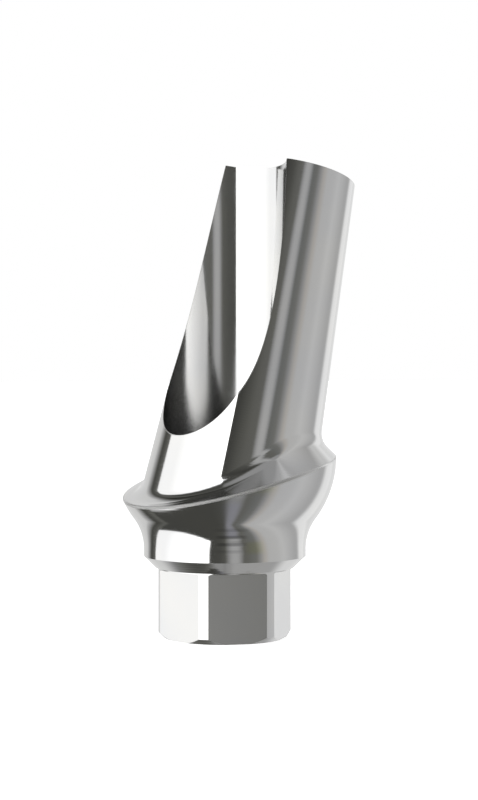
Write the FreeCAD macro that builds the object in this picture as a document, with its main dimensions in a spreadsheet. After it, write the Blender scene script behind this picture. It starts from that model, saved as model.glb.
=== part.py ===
import FreeCAD, Part
import Sketcher
import math
import os

# One-piece angled dental abutment, in millimetres.
# The origin is the centre of the foot's end face, on the axis of the implant.
# +Z points up through the piece and the post leans towards +X.

DOC = FreeCAD.newDocument("DentalAbutment")

# Driving sizes: lengths in millimetres, angles in degrees. A size that follows from
# others is given as a formula of their names.
SIZES = [
    # Hexagon that keys into the implant, and the cone above it
    ("hex_across_flats", 2.42),
    ("hex_corner_excess", 0.27),
    ("hex_corner_diameter", "=hex_across_flats + hex_corner_excess"),
    ("hex_flat_height", 1.375),
    ("hex_flat_corner", 0.07),
    ("hex_flat_overrun", 0.013),
    ("foot_chamfer", 0.11),
    ("seat_cone_foot", 1.40),
    ("seat_cone_step", 0.05),
    ("seat_cone_width", 0.235),
    ("seat_cone_diameter", "=hex_corner_diameter + 2 * seat_cone_step"),
    # Collar and the flared cuff that passes through the gum
    ("collar_foot", 1.63),
    ("collar_top", 1.77),
    ("collar_diameter", "=seat_cone_diameter + 2 * seat_cone_width"),
    ("cuff_hollow_radius", 1.02),
    ("cuff_bulge_radius", 2.06),
    ("cuff_overhang", 0.074),
    ("cuff_diameter", "=margin_diameter + 2 * cuff_overhang"),
    # Margin: the sloping edge on which a crown ends, given at the implant's axis
    ("margin_height", 3.238),
    ("margin_slope", 14.95),
    ("margin_turn", -7.7),
    ("margin_diameter", "=post_diameter + 2 * shoulder_width"),
    ("margin_offset", -0.05),
    ("margin_rounding", 0.03),
    # Shoulder: the land between margin and post, and the hollow fillet inside it
    ("shoulder_fall", 28.3),
    ("shoulder_width", 0.441),
    ("shoulder_spare", 0.276),
    ("shoulder_root", 0.459),
    ("shoulder_fillet", 0.40),
    # Post, whose axis crosses the implant's axis at the bend
    ("post_lean", 15.0),
    ("post_bend_height", 2.55),
    ("post_diameter", 3.46),
    ("post_taper", 3.0),
    ("post_length", 7.07),
    ("post_end_slope", 13.2),
    ("relief_offset", 0.373),
    ("relief_depth", 0.078),
    ("relief_radius", "=post_diameter / 2 + relief_offset - relief_depth"),
    ("relief_edge_radius", 0.2),
    # Screw channel, its seat and the hole below
    ("channel_diameter", 2.48),
    ("seat_height", 2.10),
    ("seat_angle", 45.0),
    ("screw_hole_diameter", 1.90),
]

# Reach of stock and cuts past the finished metal, so that they grow with it
CLEAR = "Sizes.post_diameter / 3.4"
POST_ROOT = "(-Sizes.post_diameter / 2.2)"
BELOW_FOOT = "(-Sizes.post_diameter / 1.1)"
OVER_MARGIN = "Sizes.shoulder_fillet / 2"
END_CUT = "Sizes.post_diameter"

FLAT_COUNT = 6
TURNED_KINDS = ("Part::GeomToroid", "Part::GeomSurfaceOfRevolution", "Part::GeomCylinder")

sheet = DOC.addObject("Spreadsheet::Sheet", "Sizes")
for row, (word, number) in enumerate(SIZES, start=1):
    sheet.set("A%d" % row, word)
    sheet.set("B%d" % row, str(number))
    sheet.setAlias("B%d" % row, word)
DOC.recompute()

body = DOC.addObject("PartDesign::Body", "Abutment")


def value(formula):
    # Works out a formula of the sheet as a plain number.
    answer = sheet.evalExpression(formula)
    return float(getattr(answer, "Value", answer))


def tangent(word):
    return "tan(Sizes.%s * 1deg)" % word


def sine(word):
    return "sin(Sizes.%s * 1deg)" % word


def cosine(word):
    return "cos(Sizes.%s * 1deg)" % word


def origin_part(role):
    for item in body.Origin.OriginFeatures:
        if item.Role == role:
            return item
    raise RuntimeError("no origin part " + role)


def new_sketch(name, role):
    sketch = body.newObject("Sketcher::SketchObject", name)
    sketch.AttachmentSupport = [(origin_part(role), "")]
    sketch.MapMode = "FlatFace"
    return sketch


def shift(sketch, formulas):
    # Moves a sketch off its plane; the formulas are keyed by x, y and z.
    for direction, formula in formulas.items():
        sketch.setExpression("AttachmentOffset.Base." + direction, formula)


def spin(sketch, formula):
    # Turns a sketch within its own plane.
    sketch.setExpression("AttachmentOffset.Rotation.Angle", formula)


def drive(sketch, constraint, formula):
    index = sketch.addConstraint(constraint)
    sketch.setExpression("Constraints[%d]" % index, formula)


def pin(sketch, geometry, point, across, up):
    # Holds one point of a sketch at a distance across and up from its origin.
    for kind, formula in (("DistanceX", across), ("DistanceY", up)):
        drive(sketch, Sketcher.Constraint(kind, -1, 1, geometry, point, value(formula)), formula)


def segment(sketch, start, end):
    a = FreeCAD.Vector(value(start[0]), value(start[1]), 0)
    b = FreeCAD.Vector(value(end[0]), value(end[1]), 0)
    return sketch.addGeometry(Part.LineSegment(a, b), False)


def join(sketch, lines):
    for line, following in zip(lines, lines[1:]):
        sketch.addConstraint(Sketcher.Constraint("Coincident", line, 2, following, 1))


def outline(sketch, corners):
    # Closed outline of straight lines through corners given as formulas.
    ends = corners[1:] + corners[:1]
    lines = [segment(sketch, start, end) for start, end in zip(corners, ends)]
    join(sketch, lines + lines[:1])
    for line, corner in zip(lines, corners):
        pin(sketch, line, 1, corner[0], corner[1])
    DOC.recompute()


def arc(sketch, centre, radius, first, last):
    round_line = Part.Circle(FreeCAD.Vector(centre[0], centre[1], 0), FreeCAD.Vector(0, 0, 1), radius)
    return sketch.addGeometry(Part.ArcOfCircle(round_line, first, last), False)


def circle(sketch, radius):
    round_line = Part.Circle(FreeCAD.Vector(0, 0, 0), FreeCAD.Vector(0, 0, 1), value(radius))
    index = sketch.addGeometry(round_line, False)
    sketch.addConstraint(Sketcher.Constraint("Coincident", index, 3, -1, 1))
    drive(sketch, Sketcher.Constraint("Radius", index, value(radius)), radius)
    DOC.recompute()


def turned(kind, name, sketch):
    # Turns a section about the upright line through its sketch's origin.
    feature = body.newObject("PartDesign::" + kind, name)
    feature.Profile = sketch
    feature.ReferenceAxis = (sketch, ["V_Axis"])
    feature.Angle = 360
    return feature


def edges_between(first_test, second_test):
    # Names the edges whose two faces pass one test each.
    names = []
    for number, edge in enumerate(body.Shape.Edges, start=1):
        sides = [face for face in body.Shape.Faces if any(edge.isSame(other) for other in face.Edges)]
        if len(sides) != 2:
            continue
        a, b = sides
        if (first_test(a) and second_test(b)) or (first_test(b) and second_test(a)):
            names.append("Edge%d" % number)
    return names


def fillet(name, edges, word):
    if not edges:
        raise RuntimeError("no edges for " + name)
    previous = body.Tip
    feature = body.newObject("PartDesign::Fillet", name)
    feature.Base = (previous, edges)
    feature.setExpression("Radius", "Sizes." + word)


def done(step, change):
    # Recomputes, and stops if the step failed. The change is the sign of the volume it
    # adds, or 0 for a rounding too shallow to weigh, which must add faces instead.
    DOC.recompute()
    shape = body.Shape
    if shape.isNull() or not shape.isValid() or "Invalid" in body.Tip.State:
        raise RuntimeError(step + " did not build")
    last_volume, last_faces = STEPS[-1]
    grown = (shape.Volume - last_volume) * change if change else len(shape.Faces) - last_faces
    if grown <= 0:
        raise RuntimeError(step + " did not change the metal as it should")
    STEPS.append((shape.Volume, len(shape.Faces)))
    print("%-16s %8.3f cubic mm, %2d faces" % (step, shape.Volume, len(shape.Faces)))


STEPS = [(0.0, 0)]

# Post: a slim cone turned about its own leaning axis
fall = tangent("post_taper")


def leaning(sketch, offset):
    # Sets a sketch's upright line on the post's axis, or beside it towards the lean.
    shift(sketch, {
        "x": "(%s) * %s" % (offset, cosine("post_lean")),
        "y": "Sizes.post_bend_height - (%s) * %s" % (offset, sine("post_lean")),
    })
    spin(sketch, "-Sizes.post_lean")


def cone_radius(foot_radius, height):
    return "%s - %s * (%s)" % (foot_radius, fall, height)


post_radius = "Sizes.post_diameter / 2"
post_tip = "Sizes.post_length + " + CLEAR
sketch = new_sketch("PostSection", "XZ_Plane")
leaning(sketch, "0")
outline(sketch, [
    ("0", POST_ROOT),
    (cone_radius(post_radius, POST_ROOT), POST_ROOT),
    (cone_radius(post_radius, post_tip), post_tip),
    ("0", post_tip),
])
post = turned("Revolution", "Post", sketch)
post.Midplane = True
done("post", 1)

# Relief: the side of the post away from the lean is turned flatter, about a second
# axis set towards the lean, which leaves one soft edge on each side of it
relief_low = "(%s - %s)" % (POST_ROOT, CLEAR)
relief_high = "%s + %s" % (post_tip, CLEAR)
sketch = new_sketch("ReliefSection", "XZ_Plane")
leaning(sketch, "Sizes.relief_offset")
outline(sketch, [
    (cone_radius("Sizes.relief_radius", relief_low), relief_low),
    ("Sizes.post_diameter", relief_low),
    ("Sizes.post_diameter", relief_high),
    (cone_radius("Sizes.relief_radius", relief_high), relief_high),
])
turned("Groove", "Relief", sketch)
done("relief", -1)


# The shoulder falls outward by one angle from square with the post, all the way round.
# Seen from the implant's axis it is shallow on one side and steep under the lean.
fall_in = "tan((Sizes.shoulder_fall - Sizes.post_lean) * 1deg)"
fall_out = "tan((Sizes.shoulder_fall + Sizes.post_lean) * 1deg)"


def ring(name, inset):
    # Lays a circle on the shoulder, at a distance inward from the margin.
    half_width = "(Sizes.margin_diameter / 2 * %s - %s)" % (cosine("margin_slope"), inset)
    spread = "%s * (%s - %s) / 2" % (inset, fall_out, fall_in)
    half_rise = "(Sizes.margin_diameter / 2 * %s + %s)" % (sine("margin_slope"), spread)
    tilt = "atan(%s / %s)" % (half_rise, half_width)
    sketch = new_sketch(name, "XY_Plane")
    axis = FreeCAD.Vector(value(sine("margin_turn")), -value(cosine("margin_turn")), 0)
    sketch.AttachmentOffset = FreeCAD.Placement(FreeCAD.Vector(), FreeCAD.Rotation(axis, value(tilt)))
    shift(sketch, {
        "y": "Sizes.margin_offset",
        "z": "Sizes.margin_height + %s * (%s + %s) / 2" % (inset, fall_out, fall_in),
    })
    sketch.setExpression("AttachmentOffset.Rotation.Axis.x", sine("margin_turn"))
    sketch.setExpression("AttachmentOffset.Rotation.Axis.y", "-" + cosine("margin_turn"))
    spin(sketch, tilt)
    circle(sketch, "sqrt(pow(%s; 2) + pow(%s; 2))" % (half_width, half_rise))
    return sketch


# Stock: a round block under the sloping shoulder, wider than the cuff, from which the
# base is turned
outer_ring = "(-(Sizes.cuff_overhang + Sizes.shoulder_spare))"
stock = body.newObject("PartDesign::Pad", "Stock")
stock.Profile = ring("StockSection", outer_ring)
stock.Reversed = True
stock.setExpression("Length", "Sizes.margin_height + " + CLEAR)
done("stock", 1)

# Shoulder: the sloping land, which runs in under the post's skin
inner_ring = "(Sizes.shoulder_width + Sizes.shoulder_root)"
shoulder = body.newObject("PartDesign::AdditiveLoft", "Shoulder")
shoulder.Profile = ring("ShoulderFoot", outer_ring)
shoulder.Sections = [(ring("ShoulderCrest", inner_ring), [""])]
shoulder.Ruled = True
done("shoulder", 1)


def is_cone(face):
    return face.Surface.TypeId == "Part::GeomCone"


def is_blend(face):
    return face.Surface.TypeId == "Part::GeomBSplineSurface"


def reaches_up(face):
    return face.BoundBox.ZMax > value("Sizes.post_bend_height + Sizes.post_length")


def is_shoulder(face):
    return is_blend(face) and not reaches_up(face)


def is_cuff(face):
    above_collar = face.BoundBox.ZMin > value("Sizes.collar_top")
    return above_collar and face.Surface.TypeId in TURNED_KINDS


def is_post_cone(face):
    return is_cone(face) and reaches_up(face)


# Soft edges where the relief meets the round of the post
fillet("ReliefEdges", edges_between(is_post_cone, is_post_cone), "relief_edge_radius")
done("relief edges", 0)

# Hollow fillet that runs the post out into the shoulder all the way round
fillet("ShoulderFillet", edges_between(is_shoulder, reaches_up), "shoulder_fillet")
done("shoulder fillet", 1)

# Base: foot, seat cone, collar and cuff, turned about the implant's axis. The cuff is
# a hollow arc that runs into a bulging one, and ends upright at its full width. The
# section stands across the lean, so that its seam stays clear of the shoulder's seam.
collar = value("Sizes.collar_diameter / 2")
brim = value("Sizes.cuff_diameter / 2")
hollow = value("Sizes.cuff_hollow_radius")
bulge = value("Sizes.cuff_bulge_radius")
collar_top = value("Sizes.collar_top")
reach = hollow + bulge
across = reach - (brim - collar)
brim_height = collar_top + math.sqrt(reach * reach - across * across)
facing = math.acos(across / reach)
cut_width = "Sizes.cuff_diameter"
cut_climb = "Sizes.margin_diameter / 2 * %s" % sine("margin_slope")
cut_top = "Sizes.margin_height + %s + %s" % (cut_climb, OVER_MARGIN)
brim_radius = "Sizes.cuff_diameter / 2"
collar_radius = "Sizes.collar_diameter / 2"
corner_radius = "Sizes.hex_corner_diameter / 2"

sketch = new_sketch("BaseSection", "YZ_Plane")
outer_corners = [
    ("0", BELOW_FOOT),
    (cut_width, BELOW_FOOT),
    (cut_width, cut_top),
    (brim_radius, cut_top),
    (brim_radius, "%.4f" % brim_height),
]
inner_corners = [
    (collar_radius, "Sizes.collar_top"),
    (collar_radius, "Sizes.collar_foot"),
    ("Sizes.seat_cone_diameter / 2", "Sizes.seat_cone_foot"),
    (corner_radius, "Sizes.seat_cone_foot"),
    (corner_radius, "Sizes.foot_chamfer"),
    (corner_radius + " - Sizes.foot_chamfer", "0"),
    ("0", "0"),
    ("0", BELOW_FOOT),
]
outer = [segment(sketch, a, b) for a, b in zip(outer_corners, outer_corners[1:])]
inner = [segment(sketch, a, b) for a, b in zip(inner_corners, inner_corners[1:])]
bulge_arc = arc(sketch, (brim - bulge, brim_height), bulge, -facing, 0.0)
hollow_arc = arc(sketch, (collar + hollow, collar_top), hollow, math.pi - facing, math.pi)
join(sketch, outer)
join(sketch, inner + outer[:1])
for line, point in zip(outer + inner, outer_corners[:-1] + inner_corners[:-1]):
    pin(sketch, line, 1, point[0], point[1])
sketch.addConstraint(Sketcher.Constraint("Vertical", outer[-1]))
sketch.addConstraint(Sketcher.Constraint("Tangent", outer[-1], 2, bulge_arc, 2))
sketch.addConstraint(Sketcher.Constraint("Tangent", bulge_arc, 1, hollow_arc, 1))
sketch.addConstraint(Sketcher.Constraint("Tangent", hollow_arc, 2, inner[0], 1))
drive(sketch, Sketcher.Constraint("Radius", bulge_arc, bulge), "Sizes.cuff_bulge_radius")
drive(sketch, Sketcher.Constraint("Radius", hollow_arc, hollow), "Sizes.cuff_hollow_radius")
DOC.recompute()
turned("Groove", "Base", sketch)
done("base", -1)

# Margin rounding: the fine edge on which a crown ends
fillet("MarginRounding", edges_between(is_shoulder, is_cuff), "margin_rounding")
done("margin rounding", -1)

# Post end: a flat cut, nearly square with the post
sketch = new_sketch("PostEndSection", "XZ_Plane")
shift(sketch, {
    "x": "Sizes.post_length * " + sine("post_lean"),
    "y": "Sizes.post_bend_height + Sizes.post_length * " + cosine("post_lean"),
})
spin(sketch, "-Sizes.post_end_slope")
outline(sketch, [
    ("-Sizes.post_diameter", "0"),
    ("Sizes.post_diameter", "0"),
    ("Sizes.post_diameter", END_CUT),
    ("-Sizes.post_diameter", END_CUT),
])
post_end = body.newObject("PartDesign::Pocket", "PostEnd")
post_end.Profile = sketch
post_end.SideType = "Symmetric"
post_end.setExpression("Length", "2 * Sizes.post_diameter")
done("post end", -1)

# Channel: the screw's way down the implant's axis, with a seat and a hole below it.
# The post leans off this axis, so the channel breaks out through the relief.
channel_radius = "Sizes.channel_diameter / 2"
hole_radius = "Sizes.screw_hole_diameter / 2"
seat_drop = "(%s - %s) / %s" % (channel_radius, hole_radius, tangent("seat_angle"))
channel_exit = "Sizes.post_bend_height + " + post_tip
below = "(-%s)" % CLEAR
sketch = new_sketch("ChannelSection", "XZ_Plane")
outline(sketch, [
    ("0", below),
    (hole_radius, below),
    (hole_radius, "Sizes.seat_height - " + seat_drop),
    (channel_radius, "Sizes.seat_height"),
    (channel_radius, channel_exit),
    ("0", channel_exit),
])
turned("Groove", "Channel", sketch)
done("channel", -1)

# Hexagon: one flat milled on the turned foot with a round-cornered cut, then the rest
inside = "Sizes.hex_across_flats / 2"
half = "(sqrt(pow(%s; 2) - pow(%s; 2)) + Sizes.hex_flat_overrun)" % (corner_radius, inside)
corner = "Sizes.hex_flat_corner"
flat_top = "Sizes.hex_flat_height"
arc_height = "%s - %s" % (flat_top, corner)
sketch = new_sketch("FlatSection", "YZ_Plane")
shift(sketch, {"z": inside})
low_line = segment(sketch, ("-" + half, below), (half, below))
right_line = segment(sketch, (half, below), (half, arc_height))
right_end = "%s - %s" % (half, corner)
left_end = "%s - %s" % (corner, half)
quarter = math.pi / 2
corner_height = value(arc_height)
right_arc = arc(sketch, (value(right_end), corner_height), value(corner), 0.0, quarter)
top_line = segment(sketch, (right_end, flat_top), (left_end, flat_top))
left_arc = arc(sketch, (value(left_end), corner_height), value(corner), quarter, math.pi)
left_line = segment(sketch, ("-" + half, arc_height), ("-" + half, below))
join(sketch, [low_line, right_line])
join(sketch, [left_line, low_line])
sketch.addConstraint(Sketcher.Constraint("Vertical", right_line))
sketch.addConstraint(Sketcher.Constraint("Vertical", left_line))
sketch.addConstraint(Sketcher.Constraint("Horizontal", top_line))
path = [right_line, right_arc, top_line, left_arc, left_line]
for before, after in zip(path, path[1:]):
    sketch.addConstraint(Sketcher.Constraint("Tangent", before, 2, after, 1))
sketch.addConstraint(Sketcher.Constraint("Equal", right_arc, left_arc))
pin(sketch, low_line, 1, "-" + half, below)
pin(sketch, low_line, 2, half, below)
drive(sketch, Sketcher.Constraint("Radius", right_arc, value(corner)), corner)
drive(sketch, Sketcher.Constraint("DistanceY", -1, 1, top_line, 1, value(flat_top)), flat_top)
DOC.recompute()
flat = body.newObject("PartDesign::Pocket", "HexFlat")
flat.Profile = sketch
flat.Reversed = True
flat.setExpression("Length", corner_radius)
done("first flat", -1)
flats = body.newObject("PartDesign::PolarPattern", "HexFlats")
flats.Originals = [flat]
flats.Axis = (origin_part("Z_Axis"), [""])
flats.Angle = 360
flats.Occurrences = FLAT_COUNT
body.Tip = flats
done("hexagon", -1)

# Checks before writing
for item in DOC.Objects:
    if "Invalid" in item.State or "Error" in item.State:
        raise RuntimeError(item.Name + " is in error")
if len(body.Shape.Solids) != 1:
    raise RuntimeError("the abutment must be one solid")
os.makedirs("parts", exist_ok=True)
body.Shape.exportStep("parts/abutment.step")
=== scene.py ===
# %% [markdown]
# # An angled dental abutment, dressed for the camera
# The abutment is one machined piece of titanium: a hexagonal foot that keys into the
# implant, a flared cuff that passes through the gum, a sloping margin, and a leaning post
# that a crown is cemented to. This lesson sets up a small photo studio for it, gives it a
# finely turned and polished surface, and sets the camera where the photographer stood.

# %% Load the solid piece
import math

import bpy
import numpy as np
from mathutils import Matrix, Quaternion, Vector
from mathutils.bvhtree import BVHTree


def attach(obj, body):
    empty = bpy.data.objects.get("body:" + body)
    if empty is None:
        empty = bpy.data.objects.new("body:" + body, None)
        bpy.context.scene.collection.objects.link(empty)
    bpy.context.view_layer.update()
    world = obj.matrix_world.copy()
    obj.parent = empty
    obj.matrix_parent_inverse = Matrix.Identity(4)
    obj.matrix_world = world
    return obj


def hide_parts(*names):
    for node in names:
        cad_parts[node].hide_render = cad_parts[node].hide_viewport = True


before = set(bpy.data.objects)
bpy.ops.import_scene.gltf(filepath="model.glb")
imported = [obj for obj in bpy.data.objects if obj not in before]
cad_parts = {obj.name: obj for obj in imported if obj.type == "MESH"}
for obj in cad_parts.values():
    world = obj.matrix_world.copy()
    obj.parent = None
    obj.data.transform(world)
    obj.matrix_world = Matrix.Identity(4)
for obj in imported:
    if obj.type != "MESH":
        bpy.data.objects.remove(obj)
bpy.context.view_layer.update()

# %% [markdown]
# ## The camera
# A lens shows a small thing truly only from far enough away, so a product photographer
# uses a long lens. The place and the lens here were fitted to the outline of the piece in
# the photograph. The camera looks level, and a small upward shift of the film, as on a
# view camera, keeps upright edges upright.

# %% Place the camera
MM = 0.001
CAMERA_PLACE = Vector((-24.85, -27.57, 5.36)) * MM
TOWARDS_CAMERA = Vector((-0.6752, -0.7376, 0.0))
TO_THE_RIGHT = Vector((0.7376, -0.6752, 0.0))

camera_data = bpy.data.cameras.new("view_camera")
camera_data.sensor_width = 36.0
camera_data.lens = 82.96
camera_data.shift_y = -0.0378
camera_data.clip_start = 1 * MM
camera_data.clip_end = 10.0
camera = bpy.data.objects.new("view_camera", camera_data)
camera.location = CAMERA_PLACE
camera.rotation_mode = "QUATERNION"
camera.rotation_quaternion = (-TOWARDS_CAMERA).to_track_quat("-Z", "Y")
bpy.context.scene.collection.objects.link(camera)
bpy.context.scene.camera = camera
bpy.context.scene.view_settings.view_transform = "Standard"
print("camera is %.1f mm from the implant's axis" % (CAMERA_PLACE.xy.length / MM))

# %% [markdown]
# ## Small helpers for shader nodes
# Node trees are quicker to read when each line says what it works out. `calculate` adds one
# Math node and takes plain numbers or the outputs of other nodes, and `add_up` adds shares
# of several values. `step` and `window` make the soft masks that the studio is built from.


# %% Node helpers
def add_node(tree, kind, label, **settings):
    node = tree.nodes.new(kind)
    node.label = label
    for setting, choice in settings.items():
        setattr(node, setting, choice)
    return node


def feed(tree, socket, source):
    if isinstance(source, bpy.types.NodeSocket):
        tree.links.new(source, socket)
    else:
        socket.default_value = source


def calculate(tree, operation, *sources, clamp=False):
    node = add_node(tree, "ShaderNodeMath", operation.lower(), operation=operation,
                    use_clamp=clamp)
    for socket, source in zip(node.inputs, sources):
        feed(tree, socket, source)
    return node.outputs[0]


def add_up(tree, start, *shares):
    # Adds a share of each value to the start.
    for value, share in shares:
        start = calculate(tree, "MULTIPLY_ADD", value, share, start)
    return start


def dot(tree, vector, direction):
    # Says how far the vector reaches along a direction.
    node = add_node(tree, "ShaderNodeVectorMath", "dot", operation="DOT_PRODUCT")
    feed(tree, node.inputs[0], vector)
    node.inputs[1].default_value = direction
    return node.outputs["Value"]


def step(tree, value, start, end):
    # Rises smoothly from 0 at start to 1 at end.
    node = add_node(tree, "ShaderNodeMapRange", "step", interpolation_type="SMOOTHSTEP")
    feed(tree, node.inputs["Value"], value)
    node.inputs["From Min"].default_value = start
    node.inputs["From Max"].default_value = end
    return node.outputs["Result"]


def window(tree, value, low, high, soft):
    # Is 1 between low and high, with soft ends.
    rise = step(tree, value, low - soft, low + soft)
    fall = step(tree, value, high + soft, high - soft)
    return calculate(tree, "MULTIPLY", rise, fall)


print("node helpers ready")

# %% [markdown]
# ## The studio
# Polished metal has hardly any colour of its own: what we see is the room. So the room is
# the main part of this picture. It could be built from real lamps and cards, but here it
# is drawn on the world's sphere, which is quick and free of noise. Every direction is
# turned into two plain angles: its bearing, counted from the camera's own place to the
# right, and its height above the level. A big white softbox stands on the left, a slim
# strip and a broad grey wall on the right, and white paper hangs behind the piece.

# %% Directions in the studio
world = bpy.data.worlds.new("studio")
world.use_nodes = True
bpy.context.scene.world = world
sky = world.node_tree
sky.nodes.clear()
direction = add_node(sky, "ShaderNodeTexCoord", "direction").outputs["Generated"]
toward = dot(sky, direction, TOWARDS_CAMERA)
right = dot(sky, direction, TO_THE_RIGHT)
up = dot(sky, direction, (0, 0, 1))
bearing = calculate(sky, "DEGREES", calculate(sky, "ARCTAN2", right, toward))
elevation = calculate(sky, "DEGREES", calculate(sky, "ARCSINE", up))
print("studio directions ready")

# %% [markdown]
# ### The walls
# A colour ramp holds how bright the room is at each bearing. It could be a painted
# picture, but a short list of bearings and levels is easier to read and to change. High
# up on the right everything begins a little further round.

# %% Walls round the piece
PAPER_LEFT, DARK, GREY, PAPER_RIGHT, PAPER_SEAM = 0.86, 0.085, 0.68, 1.13, 0.74
WALLS = [(-180, PAPER_SEAM), (-168, PAPER_LEFT), (-142, PAPER_LEFT), (-127, DARK),
         (-120, 0.13), (-116, 0.18), (-111, DARK), (-20, DARK), (-6, 0.10), (6, 0.15),
         (32, 0.18), (46, 0.23), (50, 0.33), (58, 0.55), (66, 0.66), (80, GREY), (92, 0.75),
         (104, GREY), (118, 0.58), (124, 0.58), (132, PAPER_RIGHT), (145, PAPER_RIGHT),
         (152, 0.95), (168, 0.90), (180, PAPER_SEAM)]
HIGH_UP_SHIFT = 7.0
ramp = add_node(sky, "ShaderNodeValToRGB", "walls")
stops = ramp.color_ramp.elements
for place, (angle, level) in enumerate(WALLS):
    share = (angle + 180) / 360
    stop = stops[place] if place < 2 else stops.new(share)
    stop.position = share
    stop.color = (level, level, level, 1)


def where_both(mask, other):
    return calculate(sky, "MULTIPLY", mask, other)


high_on_right = where_both(step(sky, elevation, 0, 12), window(sky, bearing, 30, 150, 15))
turned = add_up(sky, bearing, (high_on_right, -HIGH_UP_SHIFT))
feed(sky, ramp.inputs["Fac"], add_up(sky, 0.5, (turned, 1 / 360)))
print("walls made from", len(WALLS), "levels")

# %% [markdown]
# ### The walls change with height
# Above the paper hangs a dark ceiling, the paper ends below, and the space over the camera
# is darker than the rest. Each of these is a soft mask that takes light away. A lamp
# overhead is added last.


# %% Ceiling, paper ends and lamp overhead
def dimmed(light, mask, share):
    # Takes a share of the light away where the mask is 1.
    return calculate(sky, "MULTIPLY", light, add_up(sky, 1.0, (mask, -share)))


CEILING_LEFT, CEILING_RIGHT, PAPER_ENDS, OVER_CAMERA = 0.9, 0.4, 0.55, 0.35
LAMP_OVERHEAD = 0.42
ceiling_left = where_both(step(sky, elevation, 33, 46), step(sky, bearing, -120, -130))
ceiling_right = where_both(step(sky, elevation, 24, 36), step(sky, bearing, 120, 150))
behind = step(sky, calculate(sky, "ABSOLUTE", bearing), 120, 132)
paper_ends = where_both(behind, step(sky, elevation, -34, -52))
over_camera = where_both(step(sky, elevation, 18, 28), window(sky, bearing, -12, 14, 8))
walls = dimmed(ramp.outputs["Color"], ceiling_left, CEILING_LEFT)
walls = dimmed(walls, ceiling_right, CEILING_RIGHT)
walls = dimmed(walls, paper_ends, PAPER_ENDS)
walls = dimmed(walls, over_camera, OVER_CAMERA)
overhead = calculate(sky, "MULTIPLY", step(sky, elevation, 60, 74), LAMP_OVERHEAD)
walls = calculate(sky, "MAXIMUM", walls, overhead)
print("walls are dimmed in 4 places")

# %% [markdown]
# ### The softbox
# A softbox is a lamp behind a big white cloth, and it makes the broad white patches on
# post, collar and foot. Drawn by angles, its edges have to bow, as the edges of a flat
# card do for someone who stands close to it. Its far side is dimmer than its near side.

# %% Softbox on the left
BOX_LEFT, BOX_RIGHT, BOX_BOTTOM, BOX_TOP = -114.7, -21.5, -48.0, 54.5
SIDE_BLUR, BOTTOM_BLUR, TOP_BLUR = 1.5, 2.0, 4.0
LOW_BOW, FAR_BOW, NEAR_BOW, BULGE_RIGHT = 10.5, 22.0, 6.0, 7.0
LEVEL_PER_DEGREE, FAR_LEVEL, FAR_BEARING, LEAST_LEVEL = 0.0157, 1.35, -106, 1.52


def widths_from(start, width):
    # Is 0 at the starting bearing and 1 when one width further.
    return add_up(sky, -start / width, (bearing, 1 / width))


bow_low = calculate(sky, "POWER", widths_from(-66, 45), 2.0)
box_low = add_up(sky, BOX_BOTTOM, (bow_low, LOW_BOW))
to_far_side = calculate(sky, "MAXIMUM", widths_from(-50, -60), 0.0)
to_near_side = calculate(sky, "MAXIMUM", widths_from(-50, 28), 0.0)
bow_far = calculate(sky, "POWER", to_far_side, 3.0)
bow_near = calculate(sky, "POWER", to_near_side, 2.0)
box_high = add_up(sky, BOX_TOP, (bow_far, -FAR_BOW), (bow_near, -NEAR_BOW))
above_low = step(sky, calculate(sky, "SUBTRACT", elevation, box_low), -BOTTOM_BLUR, BOTTOM_BLUR)
below_high = step(sky, calculate(sky, "SUBTRACT", box_high, elevation), -TOP_BLUR, TOP_BLUR)
bulged = add_up(sky, bearing, (window(sky, elevation, 16, 38, 7), -BULGE_RIGHT))
box_shape = where_both(above_low, below_high)
between_sides = window(sky, bulged, BOX_LEFT - BULGE_RIGHT, BOX_RIGHT, SIDE_BLUR)
right_of_left = step(sky, bearing, BOX_LEFT - SIDE_BLUR, BOX_LEFT + SIDE_BLUR)
box_shape = where_both(where_both(box_shape, between_sides), right_of_left)
level_ahead = FAR_LEVEL - FAR_BEARING * LEVEL_PER_DEGREE
box_level = add_up(sky, level_ahead, (bearing, LEVEL_PER_DEGREE))
box_level = calculate(sky, "MAXIMUM", box_level, LEAST_LEVEL)
softbox = calculate(sky, "MULTIPLY", box_shape, box_level)
print("softbox is %.1f degrees wide" % (BOX_RIGHT - BOX_LEFT))

# %% [markdown]
# ### The strip
# A slim strip of light gives the post its one long streak. It leans out to the right at
# the height that the leaning post reflects, and it is wider and weaker near the floor.
# Adding up masks lets it bend without any geometry.

# %% Bent strip on the right
STRIP_BEARING, STRIP_HALF_WIDTH, STRIP_LEVEL = 15.0, 15.0, 0.56
low_down, near_floor = step(sky, elevation, 0, -8), step(sky, elevation, -34, -46)
leans_out = step(sky, elevation, 4, 16)
comes_back, comes_further = step(sky, elevation, 28, 36), step(sky, elevation, 36, 50)
strip_centre = add_up(sky, STRIP_BEARING, (leans_out, 21.0), (comes_back, -12.0),
                      (comes_further, -7.0))
strip_edge = add_up(sky, STRIP_HALF_WIDTH, (near_floor, 4.0), (low_down, 5.5))
strip_level = add_up(sky, STRIP_LEVEL, (near_floor, -0.18), (low_down, -0.04))
strip_off = calculate(sky, "ABSOLUTE", calculate(sky, "SUBTRACT", bearing, strip_centre))
strip_shape = step(sky, calculate(sky, "DIVIDE", strip_off, strip_edge), 1.0, 0.1)
strip = calculate(sky, "MULTIPLY", strip_shape, strip_level)
light = calculate(sky, "MAXIMUM", calculate(sky, "MAXIMUM", walls, softbox), strip)
print("strip placed at bearing", STRIP_BEARING)

# %% [markdown]
# ### Light that has bounced too often
# In a real bore the polish ends soon below the rim, and light that has to bounce off the
# wall again and again is lost. Following it further would only add noise, so the world
# counts the bounces and answers with a dark level.

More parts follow.
